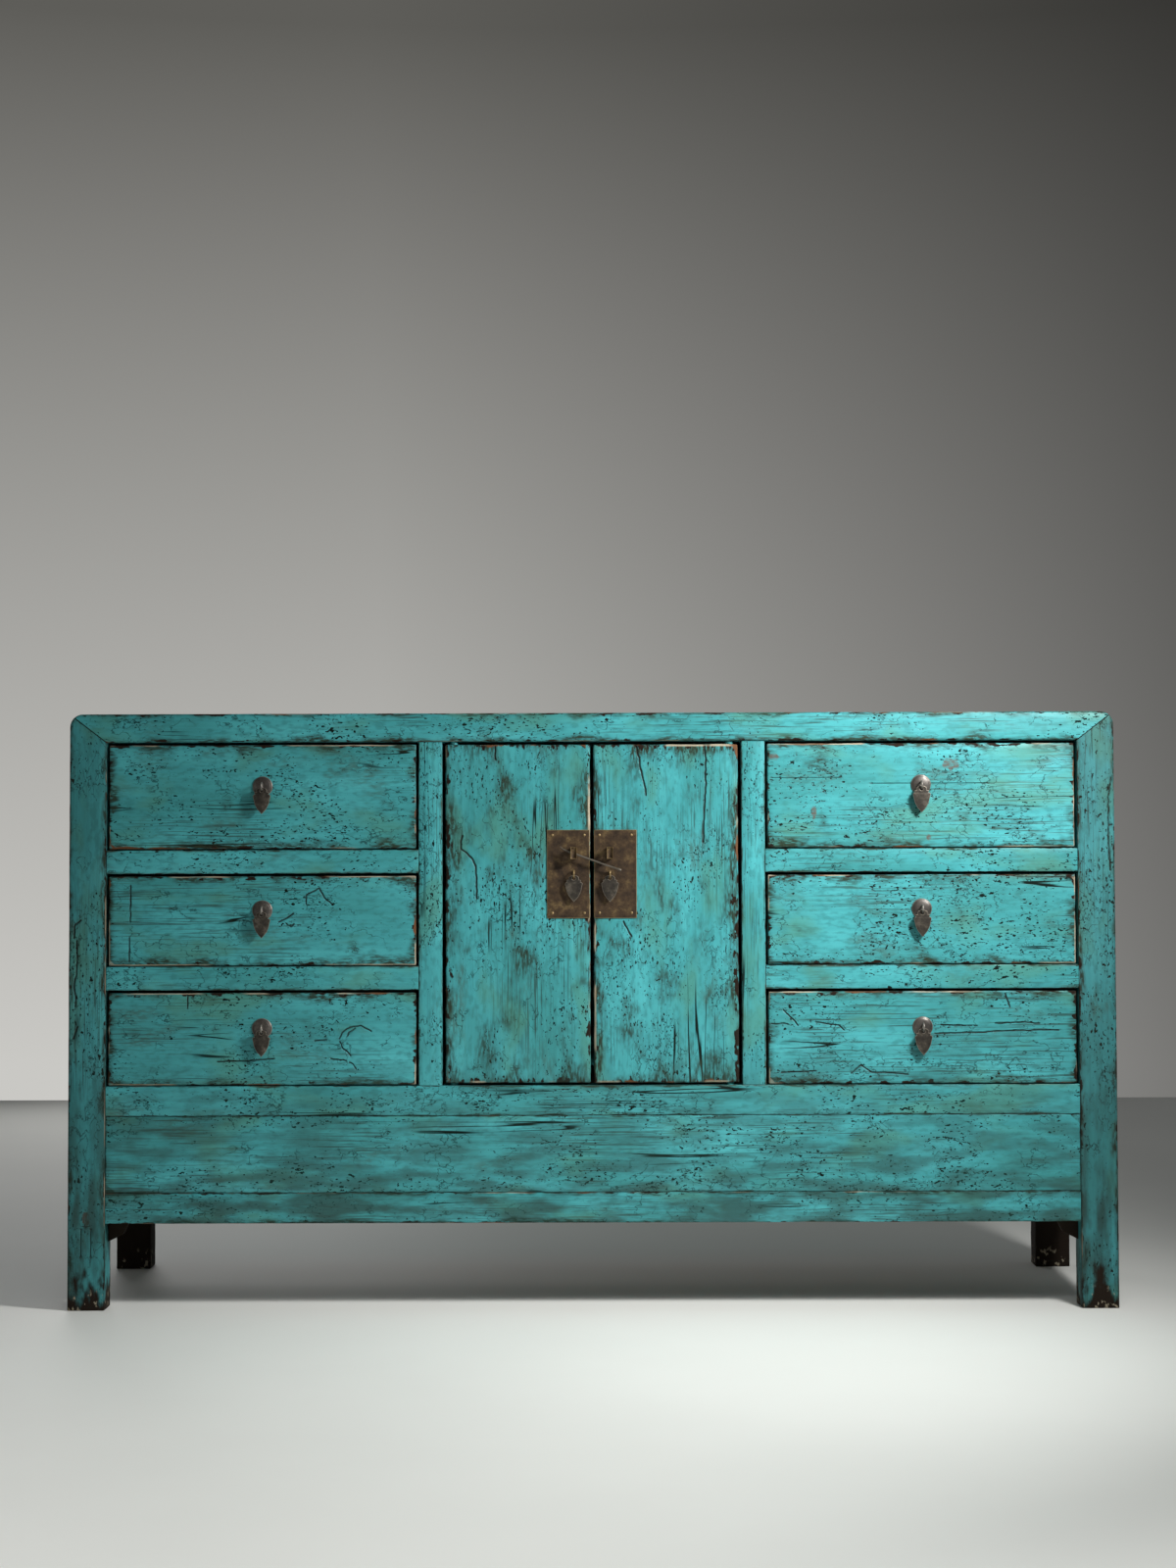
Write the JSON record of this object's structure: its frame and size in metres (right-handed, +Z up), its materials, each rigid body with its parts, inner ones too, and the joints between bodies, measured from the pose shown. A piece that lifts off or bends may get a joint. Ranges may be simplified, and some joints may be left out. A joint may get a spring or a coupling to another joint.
{
  "type": "lacquered sideboard",
  "caption": "Long lacquered sideboard on square legs: a mitred frame with drawers either side of paired plank doors, a plain apron panel and leaf-shaped metal pulls.",
  "frame": {"origin": "on the floor under the middle of the whole object's box", "axes": "+Z up, +X to the right as seen from the front, the front faces -Y"},
  "size_m": [1.6, 0.4404, 0.908],
  "materials": {
    "turquoise_lacquer": "worn turquoise lacquer over dark undercoat on softwood, satin",
    "raw_elm": "bare planed wood",
    "plate_brass": "old brass with a brown patina",
    "dark_brass": "old brass gone dark with handling"
  },
  "bodies": {
    "carcass": {"leg_front_left": "turquoise_lacquer", "leg_front_right": "turquoise_lacquer", "leg_back_left": "turquoise_lacquer", "leg_back_right": "turquoise_lacquer", "top_rail_front": "turquoise_lacquer", "top_rail_back": "turquoise_lacquer", "top_rail_left": "turquoise_lacquer", "top_rail_right": "turquoise_lacquer", "top_panel": "turquoise_lacquer", "stile_left": "turquoise_lacquer", "stile_right": "turquoise_lacquer", "waist_rail": "turquoise_lacquer", "bottom_rail_front": "turquoise_lacquer", "bottom_rail_back": "turquoise_lacquer", "bottom_rail_left": "turquoise_lacquer", "bottom_rail_right": "turquoise_lacquer", "apron_panel": "turquoise_lacquer", "drawer_rail_left_upper": "turquoise_lacquer", "drawer_rail_left_lower": "turquoise_lacquer", "drawer_rail_right_upper": "turquoise_lacquer", "drawer_rail_right_lower": "turquoise_lacquer", "side_panel_left": "turquoise_lacquer", "side_panel_right": "turquoise_lacquer", "back_panel": "turquoise_lacquer", "floor_board": "raw_elm", "partition_left": "raw_elm", "partition_right": "raw_elm", "spandrel_left": "turquoise_lacquer", "spandrel_right": "turquoise_lacquer"},
    "drawer_left_top": {"drawer_front_left_top": "turquoise_lacquer", "drawer_box_left_top": "raw_elm", "pull_rose_left_top": "plate_brass"},
    "drop_left_top": {"pull_drop_left_top": "dark_brass"},
    "drawer_left_middle": {"drawer_front_left_middle": "turquoise_lacquer", "drawer_box_left_middle": "raw_elm", "pull_rose_left_middle": "plate_brass"},
    "drop_left_middle": {"pull_drop_left_middle": "dark_brass"},
    "drawer_left_bottom": {"drawer_front_left_bottom": "turquoise_lacquer", "drawer_box_left_bottom": "raw_elm", "pull_rose_left_bottom": "plate_brass"},
    "drop_left_bottom": {"pull_drop_left_bottom": "dark_brass"},
    "drawer_right_top": {"drawer_front_right_top": "turquoise_lacquer", "drawer_box_right_top": "raw_elm", "pull_rose_right_top": "plate_brass"},
    "drop_right_top": {"pull_drop_right_top": "dark_brass"},
    "drawer_right_middle": {"drawer_front_right_middle": "turquoise_lacquer", "drawer_box_right_middle": "raw_elm", "pull_rose_right_middle": "plate_brass"},
    "drop_right_middle": {"pull_drop_right_middle": "dark_brass"},
    "drawer_right_bottom": {"drawer_front_right_bottom": "turquoise_lacquer", "drawer_box_right_bottom": "raw_elm", "pull_rose_right_bottom": "plate_brass"},
    "drop_right_bottom": {"pull_drop_right_bottom": "dark_brass"},
    "door_left": {"door_left": "turquoise_lacquer", "lock_plate_left": "plate_brass"},
    "door_drop_left": {"door_drop_left": "dark_brass"},
    "door_right": {"door_right": "turquoise_lacquer", "lock_plate_right": "plate_brass"},
    "door_drop_right": {"door_drop_right": "dark_brass"},
    "lock_pin": {"lock_pin": "dark_brass"}
  },
  "joints": [
    {"name": "drawer_left_top_slide", "type": "slide", "parent": "carcass", "child": "drawer_left_top", "axis": [0, -1, 0], "range_m": [0, 0.28]},
    {"name": "drop_left_top_swing", "type": "hinge", "parent": "drawer_left_top", "child": "drop_left_top", "pos_m": [-0.504, -0.20875, 0.79625], "axis": [-1, 0, 0], "range_deg": [-3, 95]},
    {"name": "drawer_left_middle_slide", "type": "slide", "parent": "carcass", "child": "drawer_left_middle", "axis": [0, -1, 0], "range_m": [0, 0.28]},
    {"name": "drop_left_middle_swing", "type": "hinge", "parent": "drawer_left_middle", "child": "drop_left_middle", "pos_m": [-0.504, -0.20875, 0.60675], "axis": [-1, 0, 0], "range_deg": [-3, 95]},
    {"name": "drawer_left_bottom_slide", "type": "slide", "parent": "carcass", "child": "drawer_left_bottom", "axis": [0, -1, 0], "range_m": [0, 0.28]},
    {"name": "drop_left_bottom_swing", "type": "hinge", "parent": "drawer_left_bottom", "child": "drop_left_bottom", "pos_m": [-0.504, -0.20875, 0.42675], "axis": [-1, 0, 0], "range_deg": [-3, 95]},
    {"name": "drawer_right_top_slide", "type": "slide", "parent": "carcass", "child": "drawer_right_top", "axis": [0, -1, 0], "range_m": [0, 0.28]},
    {"name": "drop_right_top_swing", "type": "hinge", "parent": "drawer_right_top", "child": "drop_right_top", "pos_m": [0.504, -0.20875, 0.79625], "axis": [-1, 0, 0], "range_deg": [-3, 95]},
    {"name": "drawer_right_middle_slide", "type": "slide", "parent": "carcass", "child": "drawer_right_middle", "axis": [0, -1, 0], "range_m": [0, 0.28]},
    {"name": "drop_right_middle_swing", "type": "hinge", "parent": "drawer_right_middle", "child": "drop_right_middle", "pos_m": [0.504, -0.20875, 0.60675], "axis": [-1, 0, 0], "range_deg": [-3, 95]},
    {"name": "drawer_right_bottom_slide", "type": "slide", "parent": "carcass", "child": "drawer_right_bottom", "axis": [0, -1, 0], "range_m": [0, 0.28]},
    {"name": "drop_right_bottom_swing", "type": "hinge", "parent": "drawer_right_bottom", "child": "drop_right_bottom", "pos_m": [0.504, -0.20875, 0.42675], "axis": [-1, 0, 0], "range_deg": [-3, 95]},
    {"name": "door_left_hinge", "type": "hinge", "parent": "carcass", "child": "door_left", "pos_m": [-0.211, -0.18875, 0.6], "axis": [0, 0, -1], "range_deg": [0, 90]},
    {"name": "door_drop_left_swing", "type": "hinge", "parent": "door_left", "child": "door_drop_left", "pos_m": [-0.0276, -0.20625, 0.661], "axis": [-1, 0, 0], "range_deg": [-3, 95]},
    {"name": "door_right_hinge", "type": "hinge", "parent": "carcass", "child": "door_right", "pos_m": [0.211, -0.18875, 0.6], "axis": [0, 0, 1], "range_deg": [0, 90]},
    {"name": "door_drop_right_swing", "type": "hinge", "parent": "door_right", "child": "door_drop_right", "pos_m": [0.0276, -0.20625, 0.661], "axis": [-1, 0, 0], "range_deg": [-3, 95]},
    {"name": "lock_pin_slide", "type": "slide", "parent": "door_left", "child": "lock_pin", "axis": [-0.9421, 0, 0.3355], "range_m": [0, 0.06]}
  ]
}
